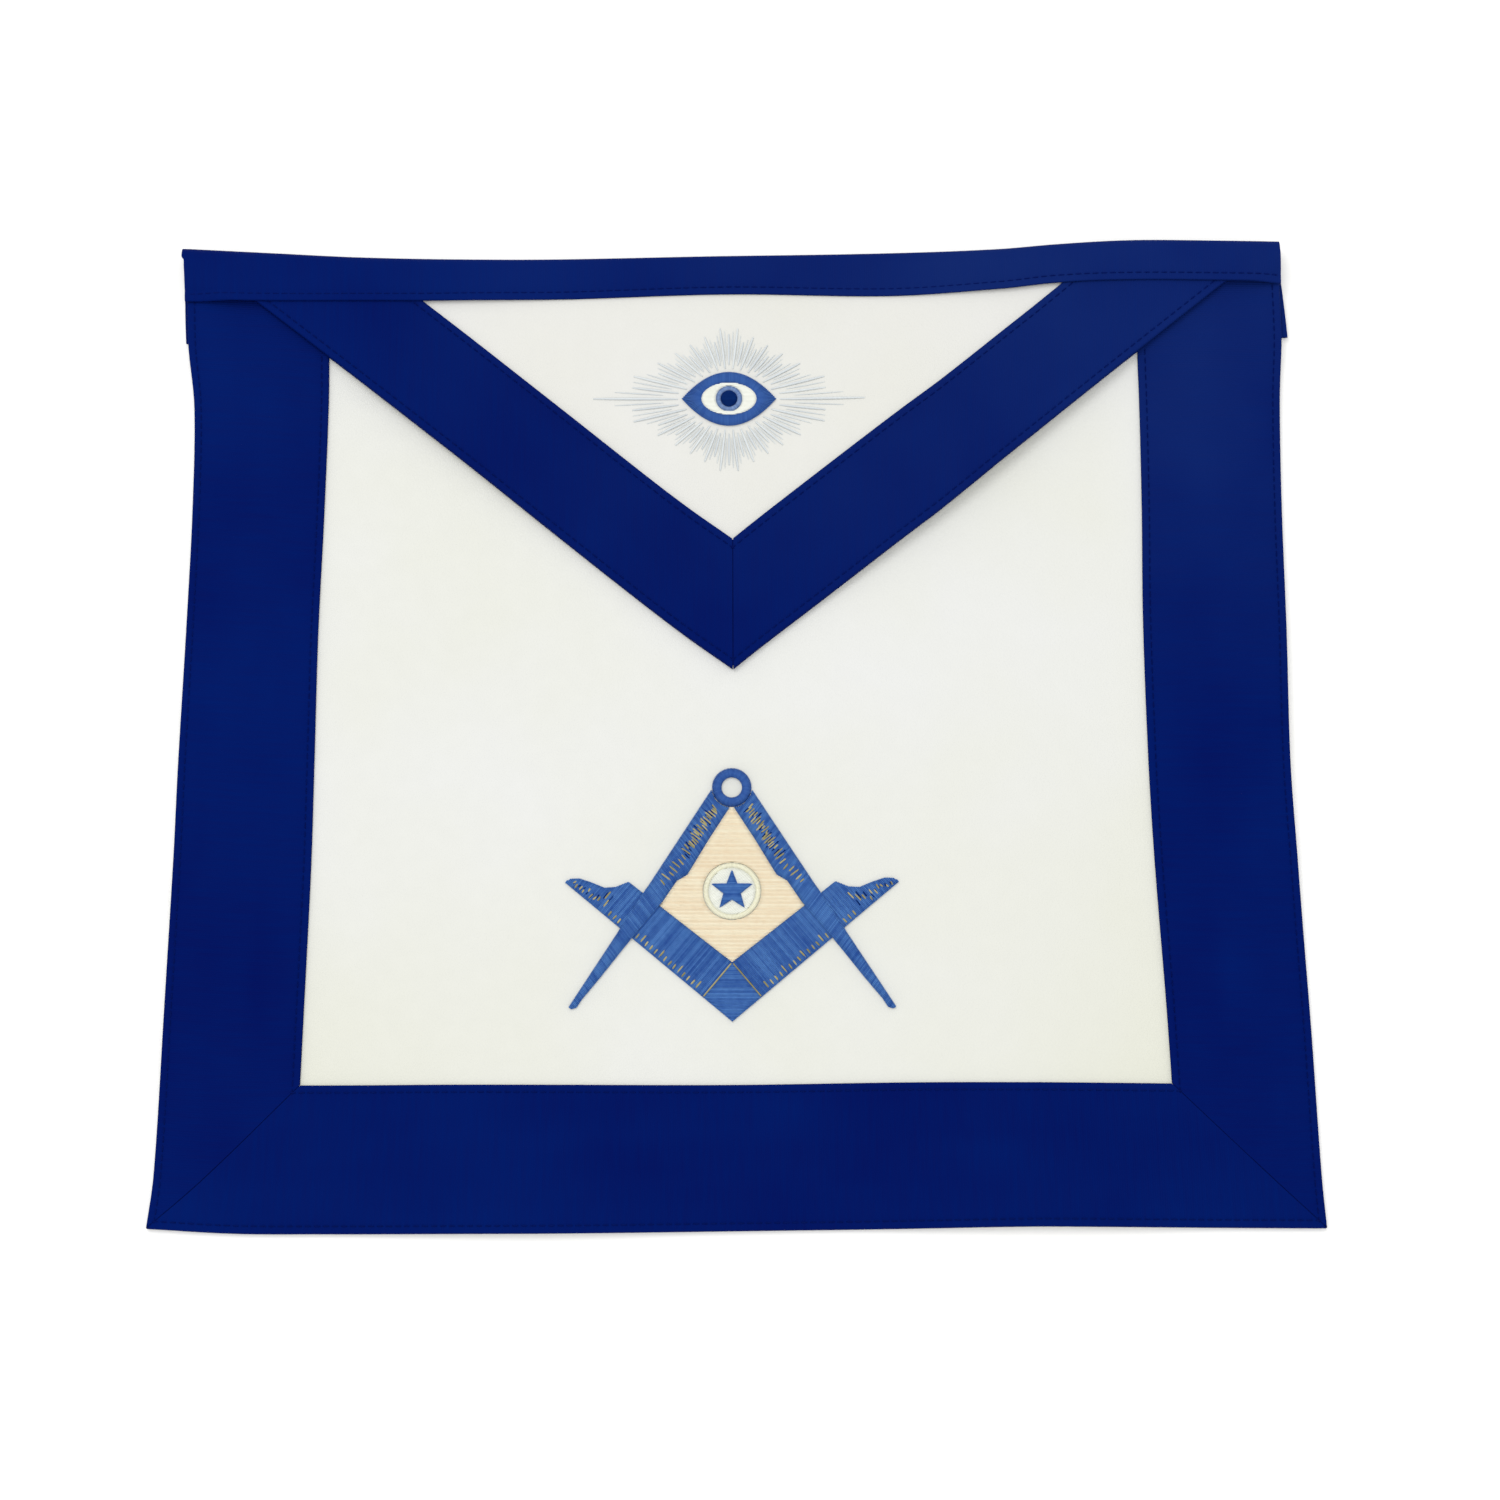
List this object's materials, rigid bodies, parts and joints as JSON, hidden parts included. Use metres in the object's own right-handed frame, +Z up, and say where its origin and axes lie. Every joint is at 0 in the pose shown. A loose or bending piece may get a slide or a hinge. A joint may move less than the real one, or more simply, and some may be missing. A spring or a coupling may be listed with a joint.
{
  "type": "masonic apron",
  "caption": "White leather lodge apron laid flat, with a pointed flap, wide navy ribbon borders, an embroidered square and compasses and an embroidered eye.",
  "frame": {"origin": "on the surface the apron lies on, under the middle of its box", "axes": "+X across the apron to the viewer's right, +Y up the apron towards the casing, +Z up off the surface"},
  "size_m": [0.406, 0.3582, 0.0103],
  "materials": {
    "leather": "white lambskin, fine grain, matt",
    "flap_leather": "warm white lambskin, fine grain, matt",
    "navy_ribbon": "navy ribbed ribbon, soft sheen",
    "blue_thread": "mid blue satin stitch embroidery",
    "cream_thread": "cream fill stitch embroidery",
    "white_thread": "white satin stitch embroidery",
    "dark_thread": "dark blue satin stitch embroidery"
  },
  "bodies": {
    "root": {"body_panel": "leather", "border_left": "navy_ribbon", "border_right": "navy_ribbon", "border_bottom": "navy_ribbon", "flap_panel": "flap_leather", "flap_border_left": "navy_ribbon", "flap_border_right": "navy_ribbon", "top_casing": "navy_ribbon", "emblem_square": "blue_thread", "compass_leg_left": "blue_thread", "compass_leg_right": "blue_thread", "compass_hinge": "blue_thread", "emblem_field": "cream_thread", "emblem_disc": "white_thread", "emblem_star": "blue_thread", "eye_outline": "blue_thread", "eye_iris": "blue_thread", "eye_pupil": "dark_thread"}
  },
  "joints": []
}
